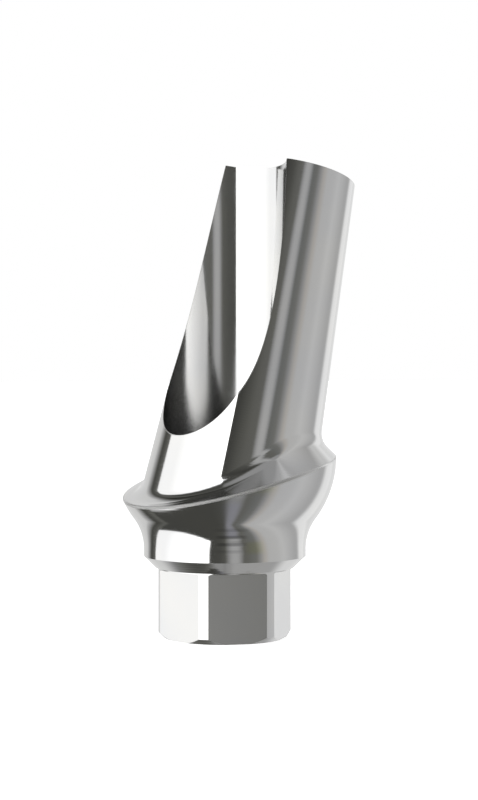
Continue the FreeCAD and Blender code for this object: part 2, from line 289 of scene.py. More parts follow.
# %% Lose the light deep in the bore
MOST_BOUNCES, LOST_LEVEL = 3, 0.09
rays = add_node(sky, "ShaderNodeLightPath", "who is looking")
lost = calculate(sky, "GREATER_THAN", rays.outputs["Ray Depth"], MOST_BOUNCES + 0.5)
kept = calculate(sky, "MULTIPLY", light, calculate(sky, "SUBTRACT", 1.0, lost))
light = add_up(sky, kept, (lost, LOST_LEVEL))
print("light is lost after", MOST_BOUNCES, "bounces")

# %% [markdown]
# ### Faint tints
# A grey room is never quite grey. Dark walls are a little warm, one band on the right is
# warm and its neighbour cool, and things near the floor add a brown and a bluish patch.
# Less blue looks warm, so the masks of the tints work on red and blue only.

# %% Tints of the room
cooler = window(sky, turned, 36, 44, 4)
warm = add_up(sky, window(sky, turned, 55, 63, 4), (cooler, -0.5))
brown = where_both(window(sky, bearing, 32, 56, 8), window(sky, elevation, -34, -10, 6))
cool = where_both(window(sky, bearing, -2, 24, 6), step(sky, elevation, -44, -54))
dark_walls = step(sky, light, 0.35, 0.12)
blue = light
for mask, share in ((dark_walls, 0.09), (brown, 0.2), (cool, -0.1), (warm, 0.05)):
    blue = dimmed(blue, mask, share)
tinted = add_node(sky, "ShaderNodeCombineColor", "walls are a little warm or cool")
feed(sky, tinted.inputs["Red"], dimmed(light, warm, -0.04))
feed(sky, tinted.inputs["Green"], light)
feed(sky, tinted.inputs["Blue"], blue)
print("light colour ready")

# %% [markdown]
# ### White behind the piece
# The photograph has a plain white background. The camera's own rays see white paper, and
# every other ray sees the room, so the background costs the metal no contrast.

# %% White to the camera, the room to everything else
paper = add_node(sky, "ShaderNodeBackground", "paper white")
paper.inputs["Color"].default_value = (1, 1, 1, 1)
room = add_node(sky, "ShaderNodeBackground", "room")
feed(sky, room.inputs["Color"], tinted.outputs["Color"])
chosen = add_node(sky, "ShaderNodeMixShader", "camera sees paper")
feed(sky, chosen.inputs[0], rays.outputs["Is Camera Ray"])
feed(sky, chosen.inputs[1], room.outputs[0])
feed(sky, chosen.inputs[2], paper.outputs[0])
exit_node = add_node(sky, "ShaderNodeOutputWorld", "out")
feed(sky, exit_node.inputs["Surface"], chosen.outputs[0])
print("world has", len(sky.nodes), "nodes")

# %% [markdown]
# ## The floor
# The photograph shows no table, only white paper. A white floor still helps: it takes a
# soft shadow under the foot. It is hidden from mirror reflections, because in the
# photograph the metal reflects the room below it and not a sheet of paper.

# %% Floor
FLOOR_HALF, PAPER_GREY, LIT_FROM_BELOW = 0.6, 0.85, 0.75
corners = [(-FLOOR_HALF, -FLOOR_HALF, 0), (FLOOR_HALF, -FLOOR_HALF, 0),
           (FLOOR_HALF, FLOOR_HALF, 0), (-FLOOR_HALF, FLOOR_HALF, 0)]
floor_mesh = bpy.data.meshes.new("floor")
floor_mesh.from_pydata(corners, [], [(0, 1, 2, 3)])
floor = bpy.data.objects.new("floor", floor_mesh)
bpy.context.scene.collection.objects.link(floor)
floor.visible_glossy = False
floor_material = bpy.data.materials.new("white_paper")
floor_material.use_nodes = True
tree = floor_material.node_tree
tree.nodes.clear()
matt = add_node(tree, "ShaderNodeBsdfDiffuse", "paper")
matt.inputs["Color"].default_value = (PAPER_GREY, PAPER_GREY, PAPER_GREY, 1)
glow = add_node(tree, "ShaderNodeEmission", "lit from below")
floor_rays = add_node(tree, "ShaderNodeLightPath", "who is looking")
glow_level = calculate(tree, "MULTIPLY", floor_rays.outputs["Is Camera Ray"], LIT_FROM_BELOW)
feed(tree, glow.inputs["Strength"], glow_level)
lit_paper = add_node(tree, "ShaderNodeAddShader", "lit paper")
feed(tree, lit_paper.inputs[0], matt.outputs[0])
feed(tree, lit_paper.inputs[1], glow.outputs[0])
exit_node = add_node(tree, "ShaderNodeOutputMaterial", "out")
feed(tree, exit_node.inputs["Surface"], lit_paper.outputs[0])
floor_mesh.materials.append(floor_material)
print("floor is %.1f m wide" % (2 * FLOOR_HALF))

# %% [markdown]
# ## Titanium and its finishes
# The whole piece is one titanium alloy, and its surfaces differ only in how they were cut.
# The outside was turned and then polished, the screw's channel was bored, and the flats of
# the foot and the ends were milled. Every finish has three small effects in common: rings
# or lines left by the cutter, a faint haze from handling, and edges that were broken and
# are duller than the polish. Along the margin's front the duller edge is also painted
# shade, which dims a highlight there. Each effect is a node group, built once and used by all.


# %% Start a node group
def new_group(name, inputs, outputs):
    group = bpy.data.node_groups.new(name, "ShaderNodeTree")
    for socket, start in inputs.items():
        made = group.interface.new_socket(socket, in_out="INPUT", socket_type="NodeSocketFloat")
        made.default_value = start
    for socket in outputs:
        group.interface.new_socket(socket, in_out="OUTPUT", socket_type="NodeSocketFloat")
    given = group.nodes.new("NodeGroupInput").outputs
    return group, given, group.nodes.new("NodeGroupOutput").inputs


def place_in_mm(tree):
    coordinates = add_node(tree, "ShaderNodeTexCoord", "place")
    scaled = add_node(tree, "ShaderNodeVectorMath", "millimetres", operation="SCALE")
    feed(tree, scaled.inputs[0], coordinates.outputs["Object"])
    scaled.inputs["Scale"].default_value = 1 / MM
    return scaled.outputs["Vector"]


print("group helpers ready")

# %% [markdown]
# ### Cutter marks
# A turning tool leaves a groove at every turn. The grooves are even, but never equal. A
# wave along the cutter's way gives the evenness, and a one-way noise makes each turn its
# own. The group gives a height for the bump and a tone for the roughness.

# %% Cutter marks
EVEN_PART, NOISE_PER_TURN = 0.35, 0.7
cutter_marks, given, out = new_group("cutter_marks", {"Along": 0.0, "Spacing": 0.1},
                                     ["Height", "Tone"])
turns = calculate(cutter_marks, "DIVIDE", given["Along"], given["Spacing"])
wave = calculate(cutter_marks, "SINE", calculate(cutter_marks, "MULTIPLY", turns, 2 * math.pi))
uneven = add_node(cutter_marks, "ShaderNodeTexNoise", "no two grooves alike",
                  noise_dimensions="1D")
uneven.inputs["Scale"].default_value = NOISE_PER_TURN
uneven.inputs["Detail"].default_value = 3.0
feed(cutter_marks, uneven.inputs["W"], turns)
marks = add_up(cutter_marks, -1.0, (uneven.outputs["Fac"], 2.0), (wave, EVEN_PART))
feed(cutter_marks, out["Height"], marks)
mark_tone = calculate(cutter_marks, "MULTIPLY_ADD", marks, 0.5, 0.5, clamp=True)
feed(cutter_marks, out["Tone"], mark_tone)
print("cutter marks have", len(cutter_marks.nodes), "nodes")

# %% [markdown]
# ### Handling haze
# Fingers and cleaning leave a film too thin to see by itself. It only softens the polish
# in broad clouds, with a finer grain inside them. Both are noise in the piece's own space.

# %% Handling haze
handling_haze, given, out = new_group("handling_haze", {"Size": 1.0}, ["Haze", "Grain"])
where = place_in_mm(handling_haze)
for socket, detail, finer in (("Haze", 4.0, 1.0), ("Grain", 2.0, 40.0)):
    cloud = add_node(handling_haze, "ShaderNodeTexNoise", socket)
    feed(handling_haze, cloud.inputs["Vector"], where)
    scale = calculate(handling_haze, "DIVIDE", finer, given["Size"])
    feed(handling_haze, cloud.inputs["Scale"], scale)
    cloud.inputs["Detail"].default_value = detail
    feed(handling_haze, out[socket], step(handling_haze, cloud.outputs["Fac"], 0.3, 0.7))
print("handling haze has", len(handling_haze.nodes), "nodes")

# %% [markdown]
# ### Broken edges, and painted shade on the margin
# Every sharp edge on a machined piece is broken a little, and the broken edge misses the
# polish. The Bevel node looks a short way round each point, and where it finds a surface
# that faces another way, an edge is near. The margin is rounded in the mesh itself, so it
# brings its own mask as an attribute. Along its front that mask is mostly painted shade: a
# darker colour that dims the softbox's highlight on the rounded edge.

# %% Broken edges
SHARP_EDGE_SHARE = 0.3
worn_and_shaded_edges, given, out = new_group("worn_and_shaded_edges", {"Width": 0.04}, ["Edge"])
nearby = add_node(worn_and_shaded_edges, "ShaderNodeBevel", "look round", samples=6)
look_round = calculate(worn_and_shaded_edges, "MULTIPLY", given["Width"], MM)
feed(worn_and_shaded_edges, nearby.inputs["Radius"], look_round)
facing_here = add_node(worn_and_shaded_edges, "ShaderNodeNewGeometry", "facing here").outputs["Normal"]
same_way = add_node(worn_and_shaded_edges, "ShaderNodeVectorMath", "same way?", operation="DOT_PRODUCT")
feed(worn_and_shaded_edges, same_way.inputs[0], nearby.outputs["Normal"])
feed(worn_and_shaded_edges, same_way.inputs[1], facing_here)
# The margin's mask: a little wear all round, and painted shade along the front.
eased_and_shaded = add_node(worn_and_shaded_edges, "ShaderNodeAttribute", "the margin is rounded",
                 attribute_name="margin_wear_and_shade")
sharp = step(worn_and_shaded_edges, same_way.outputs["Value"], 0.995, 0.90)
sharp = calculate(worn_and_shaded_edges, "MULTIPLY", sharp, SHARP_EDGE_SHARE)
feed(worn_and_shaded_edges, out["Edge"], calculate(worn_and_shaded_edges, "MAXIMUM", sharp, eased_and_shaded.outputs["Fac"]))
print("broken edges have", len(worn_and_shaded_edges.nodes), "nodes")

# %% [markdown]
# ### Chatter under the cuff
# Where the tool turned the hollow of the cuff it chattered, and left a few coarse rings on
# a short arc. Only the polished finish shows them, so they are no group: a wave, kept to
# a range of heights and to one side of the piece. The rings' lows also get painted shade,
# a darker colour in the grooves.

# %% Chatter
CHATTER_BEARING = math.radians(-128.0)
CHATTER_FACING = (math.cos(CHATTER_BEARING), math.sin(CHATTER_BEARING), 0.0)
CHATTER_LOW, CHATTER_HIGH, CHATTER_SPACING = 1.87, 2.28, 0.145


def short_arc(tree, place):
    # Is 1 on the short arc where the tool chattered.
    level = add_node(tree, "ShaderNodeVectorMath", "level part", operation="MULTIPLY")
    feed(tree, level.inputs[0], place)
    level.inputs[1].default_value = (1, 1, 0)
    outward = add_node(tree, "ShaderNodeVectorMath", "outward", operation="NORMALIZE")
    feed(tree, outward.inputs[0], level.outputs["Vector"])
    return step(tree, dot(tree, outward.outputs["Vector"], CHATTER_FACING), 0.978, 0.999)


def chatter_rings(tree, place, distance):
    # Gives the rings' height, and a mask of their lows, where painted shade goes.
    turns = calculate(tree, "MULTIPLY", distance, 2 * math.pi / CHATTER_SPACING)
    rings = calculate(tree, "SINE", turns)
    in_hollow = window(tree, distance, CHATTER_LOW, CHATTER_HIGH, 0.15)
    here = calculate(tree, "MULTIPLY", in_hollow, short_arc(tree, place))
    lows = calculate(tree, "MULTIPLY", here, step(tree, rings, 0.5, -0.9))
    return calculate(tree, "MULTIPLY", rings, here), lows


print("chatter is spaced", CHATTER_SPACING, "mm")

# %% [markdown]
# ### One recipe for every finish
# The three finishes are the same metal, so one function makes them all. A finish says
# which way its cutter went, how far apart and how deep the marks are, and how smooth the
# polish is. Haze, marks and grain each add a little roughness, and edges add much.

# %% One finish of titanium
CLEAN, HANDLED = (0.615, 0.612, 0.600, 1), (0.590, 0.592, 0.595, 1)
# The chatter colour is painted shade for the lows of the chatter rings.
# The edge colour is for worn edges, and is painted shade along the margin's front.
EDGE_WEAR_AND_SHADE_COLOUR, CHATTER_SHADE_COLOUR = (0.53, 0.53, 0.525, 1), (0.34, 0.34, 0.34, 1)
HAZE_ROUGH, MARKS_ROUGH, GRAIN_ROUGH, DULL_ROUGH, EDGE_ROUGH = 0.03, 0.03, 0.02, 0.10, 0.7
HAZE_SIZE, EDGE_WIDTH, GROOVE_UNIT = 1.6, 0.02, 0.001


def use_group(tree, group, **values):
    node = add_node(tree, "ShaderNodeGroup", group.name)
    node.node_tree = group
    for socket, source in values.items():
        feed(tree, node.inputs[socket], source)
    return node.outputs


def mixed(tree, label, share, first, second):
    node = add_node(tree, "ShaderNodeMix", label, data_type="RGBA")
    feed(tree, node.inputs["Factor"], share)
    feed(tree, node.inputs["A"], first)
    feed(tree, node.inputs["B"], second)
    return node.outputs["Result"]


def titanium(name, along, spacing, groove, polish, chatter=0.0, dull_below=None, metal=1.0):
    # groove and chatter are heights in thousandths of a millimetre, polish is a roughness,
    # and dull_below gives the heights between which a bore loses its polish.
    material = bpy.data.materials.new(name)
    material.use_nodes = True
    tree = material.node_tree
    tree.nodes.clear()
    place = place_in_mm(tree)
    distance = along(tree, place)
    marks = use_group(tree, cutter_marks, Along=distance, Spacing=spacing)
    haze = use_group(tree, handling_haze, Size=HAZE_SIZE)
    edge = use_group(tree, worn_and_shaded_edges, Width=EDGE_WIDTH)["Edge"]
    height = calculate(tree, "MULTIPLY", marks["Height"], groove)
    colour = mixed(tree, "titanium's colour", haze["Haze"], CLEAN, HANDLED)
    # Edges get a darker colour: wear on every edge, and painted shade along the margin's front.
    colour = mixed(tree, "edges are duller", edge, colour, EDGE_WEAR_AND_SHADE_COLOUR)
    if chatter:
        rings, lows = chatter_rings(tree, place, distance)
        height = add_up(tree, height, (rings, chatter))
        # Painted shade: the lows of the chatter rings get a darker colour.
        colour = mixed(tree, "chatter is darker in its lows", lows, colour, CHATTER_SHADE_COLOUR)
    rough = add_up(tree, polish, (haze["Haze"], HAZE_ROUGH), (marks["Tone"], MARKS_ROUGH),
                   (haze["Grain"], GRAIN_ROUGH), (edge, EDGE_ROUGH))
    if dull_below:
        unpolished = step(tree, distance, dull_below[1], dull_below[0])
        rough = add_up(tree, rough, (unpolished, DULL_ROUGH))
    bump = add_node(tree, "ShaderNodeBump", "grooves")
    bump.inputs["Distance"].default_value = GROOVE_UNIT * MM
    feed(tree, bump.inputs["Height"], height)
    surface = add_node(tree, "ShaderNodeBsdfPrincipled", "titanium")
    surface.inputs["Metallic"].default_value = metal
    feed(tree, surface.inputs["Base Color"], colour)
    feed(tree, surface.inputs["Roughness"], rough)
    feed(tree, surface.inputs["Normal"], bump.outputs["Normal"])
    ending = add_node(tree, "ShaderNodeOutputMaterial", "out")
    feed(tree, ending.inputs["Surface"], surface.outputs[0])
    return material


print("recipe ready")

# %% [markdown]
# ### Which way each cutter went
# Below the margin the piece turned about the implant's axis, and above it about the
# leaning post. The channel was bored straight down, and the flats were milled across.
# The post's and the margin's angles are needed here first, so they are set here.

# %% The three finishes
POST_LEAN, MILLED_TURN = math.radians(15.0), math.radians(15.0)
MARGIN_SLOPE, MARGIN_TURN = math.radians(14.95), math.radians(-7.7)
POST_FACING = (math.sin(POST_LEAN), 0.0, math.cos(POST_LEAN))
MARGIN_FACING = (-math.sin(MARGIN_SLOPE) * math.cos(MARGIN_TURN),
                 -math.sin(MARGIN_SLOPE) * math.sin(MARGIN_TURN), math.cos(MARGIN_SLOPE))
MARGIN_LEVEL, MARGIN_SOFT = 3.13, 0.02
MILLED_ALONG = (math.sin(MILLED_TURN), math.cos(MILLED_TURN), 0.0)


def up_the_foot(tree, place):
    return dot(tree, place, (0, 0, 1))


def up_foot_or_post(tree, place):
    over_margin = dot(tree, place, MARGIN_FACING)
    above = step(tree, over_margin, MARGIN_LEVEL - MARGIN_SOFT, MARGIN_LEVEL + MARGIN_SOFT)
    choice = add_node(tree, "ShaderNodeMix", "foot or post", data_type="FLOAT")
    feed(tree, choice.inputs[0], above)
    feed(tree, choice.inputs[2], dot(tree, place, (0, 0, 1)))
    feed(tree, choice.inputs[3], dot(tree, place, POST_FACING))
    return choice.outputs[0]


def across_the_piece(tree, place):
    return dot(tree, place, MILLED_ALONG)


polished = titanium("polished_titanium", up_foot_or_post, 0.05, 0.12, 0.045, chatter=1.1)
bored = titanium("bored_channel", up_the_foot, 0.08, 0.06, 0.05, dull_below=(4.3, 6.5),
                 metal=0.965)
milled = titanium("milled_titanium", across_the_piece, 0.03, 0.05, 0.20)
print("three finishes ready:", polished.name, bored.name, milled.name)

# %% [markdown]
# ## Why the metal gets a finer skin
# A mirror shows every flat facet of a mesh as a kink in the reflection. The solid piece
# comes as a light mesh, which is right for measuring and too coarse for polish. Smoothing
# it by eye would change its shape, so the same surfaces are worked out again from their
# sizes, with the exact normal at every corner: circles for what a lathe turns, straight
# lines for the tapered post, and a rolling ball for the fillet. Sizes are in millimetres.

# %% Sizes of the post
UP = np.array((0.0, 0.0, 1.0))
BEND = np.array((0.0, 0.0, 2.55))
POST_AXIS = np.array(POST_FACING)
TO_LEAN = np.array((math.cos(POST_LEAN), 0.0, -math.sin(POST_LEAN)))
SIDEWAYS = np.array((0.0, 1.0, 0.0))
TAPER = math.tan(math.radians(3.0))
POST_RADIUS, POST_LENGTH = 1.73, 7.07
RELIEF_OFFSET, RELIEF_RADIUS, RELIEF_EDGE = 0.373, 2.025, 0.2
COLUMNS = 480
facing = np.linspace(-math.pi, math.pi, COLUMNS, endpoint=False)
print("skin has", COLUMNS, "columns")

# %% [markdown]
# ### The post
# The post is a cone turned about its own leaning axis, and its back is turned flatter about
# a second axis. Cut square across, it is two arcs joined by a very small one. If each point
# is named by the way its surface faces, all three arcs become one smooth run.

# %% Points and normals of the post
SMALL_CLIMB = 0.001


def unit(vectors):
    return vectors / np.linalg.norm(vectors, axis=-1, keepdims=True)


def post_point(face, height):
    side = np.sign(face) + (face == 0)
    face = np.abs(face)
    small = POST_RADIUS - RELIEF_EDGE - TAPER * height
    flat = RELIEF_RADIUS - RELIEF_EDGE - TAPER * height
    x = (small ** 2 - flat ** 2 + RELIEF_OFFSET ** 2) / (2 * RELIEF_OFFSET)
    y = np.sqrt(small ** 2 - x ** 2)
    on_round = face < np.arctan2(y, x)
    on_relief = face > np.arctan2(y, x - RELIEF_OFFSET)
    centre_x = np.where(on_round, 0.0, np.where(on_relief, RELIEF_OFFSET, x))
    centre_y = np.where(on_round | on_relief, 0.0, y)
    radius = np.where(on_round, small, np.where(on_relief, flat, 0.0)) + RELIEF_EDGE
    across = (centre_x + radius * np.cos(face))[:, None] * TO_LEAN
    along = (side * (centre_y + radius * np.sin(face)))[:, None] * SIDEWAYS
    return BEND + across + along + height[:, None] * POST_AXIS


def post_normal(face, height):
    flat_normal = np.cos(face)[:, None] * TO_LEAN + np.sin(face)[:, None] * SIDEWAYS
    climb = post_point(face, height + SMALL_CLIMB) - post_point(face, height - SMALL_CLIMB)
    rise = -np.sum(climb * flat_normal, axis=1) / (2 * SMALL_CLIMB)
    return unit(flat_normal + rise[:, None] * POST_AXIS)


foot_of_post = post_point(facing, np.zeros(COLUMNS))
print("post is %.2f mm across" % np.ptp(foot_of_post[:, 1]))

# %% [markdown]
# ### The shoulder
# The land falls away from the post by one angle all the way round, as a cutter held
# along the post leaves it. It is drawn as straight lines between two tilted rings.

# %% The shoulder's land
MARGIN_HEIGHT, MARGIN_RADIUS, MARGIN_OFFSET = 3.238, 2.171, -0.05
SHOULDER_FALL = math.radians(28.3)
FALL_IN = math.tan(SHOULDER_FALL - POST_LEAN)
FALL_OUT = math.tan(SHOULDER_FALL + POST_LEAN)
OUTER_RING, INNER_RING = -0.35, 0.90
SMALL_TURN = 0.0005


def ring_point(inset, angle):
    half_width = MARGIN_RADIUS * math.cos(MARGIN_SLOPE) - inset
    half_rise = MARGIN_RADIUS * math.sin(MARGIN_SLOPE) + inset * (FALL_OUT - FALL_IN) / 2
    hinge = Vector((math.sin(MARGIN_TURN), -math.cos(MARGIN_TURN), 0.0))
    tilt = Quaternion(hinge, math.atan2(half_rise, half_width)).to_matrix()
    reach = math.hypot(half_width, half_rise)
    height = MARGIN_HEIGHT + inset * (FALL_OUT + FALL_IN) / 2
    x, y = np.array(tilt.col[0]), np.array(tilt.col[1])
    circle = np.cos(angle)[:, None] * x + np.sin(angle)[:, None] * y
    return (0, MARGIN_OFFSET, height) + reach * circle


def land_point(angle, share):
    outer, inner = ring_point(OUTER_RING, angle), ring_point(INNER_RING, angle)
    return outer + share[:, None] * (inner - outer)


def land_normal(angle, share):
    round_it = land_point(angle + SMALL_TURN, share) - land_point(angle - SMALL_TURN, share)
    inward = ring_point(INNER_RING, angle) - ring_point(OUTER_RING, angle)
    return unit(np.cross(round_it, inward))


falls = math.degrees(math.atan(FALL_IN)), math.degrees(math.atan(FALL_OUT))
print("land falls %.1f to %.1f degrees" % falls)

# %% [markdown]
# ### The fillet
# Where post and land meet, a ball of 0.4 mm radius rolls round in the corner. Its
# centre stands one radius off both surfaces. Newton's method finds it for every column.

# %% Roll the ball round
FILLET = 0.4
TINY_STEP, LONGEST_STEP = 1e-5, 0.3


def misfit(place):
    height, angle, share = place
    on_post = post_point(facing, height) + FILLET * post_normal(facing, height)
    on_land = land_point(angle, share) + FILLET * land_normal(angle, share)
    return on_post - on_land


first_height = 1.0 + 0.8 * np.cos(facing)
start = post_point(facing, first_height)
place = [first_height, np.arctan2(start[:, 1], start[:, 0]), np.full(COLUMNS, 0.5)]
for turn in range(12):
    off = misfit(place)
    slopes = []
    for which in range(3):
        nudged = [p + (TINY_STEP if which == i else 0.0) for i, p in enumerate(place)]
        slopes.append((misfit(nudged) - off) / TINY_STEP)
    change = np.linalg.solve(np.stack(slopes, axis=2), -off[:, :, None])[:, :, 0]
    change = np.clip(change, -LONGEST_STEP, LONGEST_STEP)
    place = [p + change[:, i] for i, p in enumerate(place)]
fillet_height, land_angle, land_share = place
print("ball rolls true to %.1e mm" % np.abs(misfit(place)).max())

# %% [markdown]
# ### One path over the shoulder
# A mesh needs its points in order. For every column, this path leads from the post down
# the fillet and out over the land, and a single number says how far along it a point is.

# %% Path from the post over fillet and land
normal_high = post_normal(facing, fillet_height)
normal_low = land_normal(land_angle, land_share)
ball = post_point(facing, fillet_height) + FILLET * normal_high
bend_angle = np.arccos(np.sum(normal_high * normal_low, axis=1))


def shoulder_path(way):
    # From 0 to 1 the way goes down the fillet, and from 1 to 2 out over the land.
    on_fillet = np.clip(way, 0, 1) * bend_angle
    weight_high = np.sin(bend_angle - on_fillet) / np.sin(bend_angle)
    weight_low = np.sin(on_fillet) / np.sin(bend_angle)
    normal = weight_high[:, None] * normal_high + weight_low[:, None] * normal_low
    share = land_share * (2 - np.clip(way, 1, 2))
    on_land = (way > 1)[:, None]
    point = np.where(on_land, land_point(land_angle, share), ball - FILLET * normal)
    return point, np.where(on_land, land_normal(land_angle, share), normal)


bends = np.degrees((bend_angle.min(), bend_angle.max()))
print("fillet turns %.0f to %.0f degrees" % tuple(bends))

# %% [markdown]
# ### The cuff
# Below the margin everything is turned about the implant's axis. The cuff is a hollow arc
# that runs into a bulging one. Both are given by the length along them from the collar up.

# %% The cuff's section
COLLAR_RADIUS, COLLAR_TOP = 1.63, 1.77
BRIM_RADIUS, HOLLOW, BULGE = 2.245, 1.02, 2.06
REACH = HOLLOW + BULGE
CUFF_TURN = math.acos((REACH - BRIM_RADIUS + COLLAR_RADIUS) / REACH)
BRIM_HEIGHT = COLLAR_TOP + REACH * math.sin(CUFF_TURN)
SPARE_LENGTH = 1.5


def cuff_section(length):
    # Radius, height and outward slope of the cuff at a length up along it.
    low = np.clip(length, 0, HOLLOW * CUFF_TURN) / HOLLOW
    high = np.clip(length - HOLLOW * CUFF_TURN, 0, BULGE * CUFF_TURN) / BULGE
    over = np.maximum(length - REACH * CUFF_TURN, 0)
    lean = CUFF_TURN - high
    radius_low = COLLAR_RADIUS + HOLLOW * (1 - np.cos(low))
    radius_high = BRIM_RADIUS - BULGE * (1 - np.cos(lean))
    height_low = COLLAR_TOP + HOLLOW * np.sin(low)
    height_high = BRIM_HEIGHT - BULGE * np.sin(lean) + over
    bulging = length > HOLLOW * CUFF_TURN
    radius = np.where(bulging, radius_high, radius_low)
    return radius, np.where(bulging, height_high, height_low), np.where(bulging, lean, low)


lengths = np.linspace(0, REACH * CUFF_TURN + SPARE_LENGTH, 4001)
section_radius, section_height, section_slope = cuff_section(lengths)
print("cuff stands upright %.2f mm above the foot" % BRIM_HEIGHT)

# %% [markdown]
# ### Where the margin lies
# No drawing gives the margin's height. It lies where the path over the shoulder leaves the
# turned cuff. A coarse search and then halving find that place for every column.

# %% Find the margin, where land or fillet meets the cuff
SEARCH_STEPS = 160


def outside(point):
    cuff_radius = np.interp(point[:, 2], section_height, section_radius)
    return np.hypot(point[:, 0], point[:, 1]) - cuff_radius


high_way = np.full(COLUMNS, 2.0)
for way in np.linspace(0, 2, SEARCH_STEPS + 1)[1:-1]:
    beyond = outside(shoulder_path(np.full(COLUMNS, way))[0]) > 0
    high_way = np.where(beyond & (way < high_way), way, high_way)
low_way = np.maximum(high_way - 2 / SEARCH_STEPS, 0)
for halving in range(30):
    middle = (low_way + high_way) / 2
    beyond = outside(shoulder_path(middle)[0]) > 0
    high_way = np.where(beyond, middle, high_way)
    low_way = np.where(beyond, low_way, middle)
margin_way = (low_way + high_way) / 2
margin = shoulder_path(margin_way)[0]
lowest, highest = margin[:, 2].min(), margin[:, 2].max()
print("margin runs from %.2f to %.2f mm above the foot" % (lowest, highest))

# %% [markdown]
# ### The margin's edge
# The edge where a crown ends is rounded by only 0.03 mm, but that is enough to catch a
# bright line of light. A small arc joins the two surfaces.

# %% Round the margin
EDGE = 0.03
SMALL_WAY = 0.01
upward = unit(shoulder_path(margin_way - SMALL_WAY)[0] - margin)
outward = unit(margin * (1, 1, 0))
slope = np.interp(margin[:, 2], section_height, section_slope)
downward = -np.sin(slope)[:, None] * outward - np.cos(slope)[:, None] * UP
half_open = np.arccos(np.sum(upward * downward, axis=1)) / 2
set_back = EDGE / np.tan(half_open)
edge_centre = margin + unit(upward + downward) * (EDGE / np.sin(half_open))[:, None]
edge_high, edge_low = margin + upward * set_back[:, None], margin + downward * set_back[:, None]
openings = np.degrees((2 * half_open.min(), 2 * half_open.max()))
print("edge opens %.0f to %.0f degrees" % tuple(openings))

# %% [markdown]
# ### Rows of points from the post's end to the foot
# The skin is a stack of rings. Each ring notes the surface's normal just above it and just
# below it: the same where the surface runs on, different at an edge. The first rings run
# down the post from its sloping end, which is found for every column by a few repeats.

# %% Stack of rings
rings, normals_above, normals_below = [], [], []


def add_ring(points, above, below=None):
    rings.append(points)
    normals_above.append(above)
    normals_below.append(above if below is None else below)


END_SLOPE = math.radians(13.2)
END_NORMAL = np.array((math.sin(END_SLOPE), 0.0, math.cos(END_SLOPE)))
end_centre = BEND + POST_LENGTH * POST_AXIS
end_height = np.full(COLUMNS, POST_LENGTH)
for turn in range(8):
    over_end = (post_point(facing, end_height) - end_centre) @ END_NORMAL
    end_height = end_height - over_end / (POST_AXIS @ END_NORMAL)
for share in np.linspace(0, 1, 17):
    height = end_height + share * (fillet_height - end_height)
    add_ring(post_point(facing, height), post_normal(facing, height))
print("post has", len(rings), "rings")

# %% [markdown]
# ### Over the shoulder to the margin
# The path over the shoulder is short on one side and long on the other. Rings that are
# spaced by the distance travelled lie evenly on both. Three more go round the margin.

# %% Rings over fillet, land and margin
ROWS_ON_SHOULDER = 22
samples = np.linspace(0, 1, 121)
trail = np.stack([shoulder_path(margin_way * share)[0] for share in samples])
steps = np.linalg.norm(np.diff(trail, axis=0), axis=2)
travelled = np.vstack([np.zeros(COLUMNS), np.cumsum(steps, axis=0)])
stop = travelled[-1] - set_back
for row in range(1, ROWS_ON_SHOULDER + 1):
    wanted = stop * row / ROWS_ON_SHOULDER
    share = np.array([np.interp(w, travelled[:, i], samples) for i, w in enumerate(wanted)])
    point, normal = shoulder_path(share * margin_way)
    add_ring(point, normal)
first, last = unit(edge_high - edge_centre), unit(edge_low - edge_centre)
sweep = np.arccos(np.sum(first * last, axis=1))
for share in (0.25, 0.5, 0.75):
    normal = (np.sin((1 - share) * sweep) / np.sin(sweep))[:, None] * first
    normal = normal + (np.sin(share * sweep) / np.sin(sweep))[:, None] * last
    add_ring(edge_centre + EDGE * normal, normal)
margin_rows = slice(len(rings) - 4, len(rings) + 1)
print("margin reached after", len(rings), "rings")

# %% [markdown]
# ### Down the cuff
# Below the margin a column simply looks outward from the implant's axis, and its rings
# share out the length along the section that is left down to the collar.

# %% Rings down the cuff
ROWS_ON_CUFF = 44
azimuths = np.arctan2(edge_low[:, 1], edge_low[:, 0])
round_way = np.stack([np.cos(azimuths), np.sin(azimuths), np.zeros(COLUMNS)], axis=1)
start_length = np.interp(edge_low[:, 2], section_height, lengths)
for row in range(ROWS_ON_CUFF + 1):
    radius, height, lean = cuff_section(start_length * (1 - row / ROWS_ON_CUFF))
    normal = np.cos(lean)[:, None] * round_way - np.sin(lean)[:, None] * UP
    add_ring(radius[:, None] * round_way + height[:, None] * UP, normal)
print("cuff done after", len(rings), "rings")

# %% [markdown]
# ### Collar, seat cone and foot
# The lowest stretch is made of straight cuts with sharp edges between them: the collar,
# the cone that seats in the implant, the step above the hexagon, the hexagon's corners
# and the chamfer. One ring at each edge is enough, with another normal on each side.

# %% Rings of collar, seat cone and foot
COLLAR_FOOT, CONE_RADIUS, CONE_FOOT = 1.63, 1.395, 1.40
CORNER_RADIUS, FOOT_CHAMFER = 1.345, 0.11
FOOT_SECTION = [(COLLAR_RADIUS, COLLAR_TOP), (COLLAR_RADIUS, COLLAR_FOOT),
                (CONE_RADIUS, CONE_FOOT), (CORNER_RADIUS, CONE_FOOT),
                (CORNER_RADIUS, FOOT_CHAMFER), (CORNER_RADIUS - FOOT_CHAMFER, 0.0)]


def section_normal(high, low):
    # Faces outward from a straight piece of the section, drawn from high to low.
    run, fall = low[0] - high[0], high[1] - low[1]
    size = math.hypot(run, fall)
    return fall / size * round_way + run / size * UP


outward_normals = [section_normal(*ends) for ends in zip(FOOT_SECTION, FOOT_SECTION[1:])]
normals_below[-1] = outward_normals[0]
for place, (radius, height) in enumerate(FOOT_SECTION[1:]):
    below = outward_normals[min(place + 1, len(outward_normals) - 1)]
    add_ring(radius * round_way + height * UP, outward_normals[place], below)
print("skin has", len(rings), "rings")

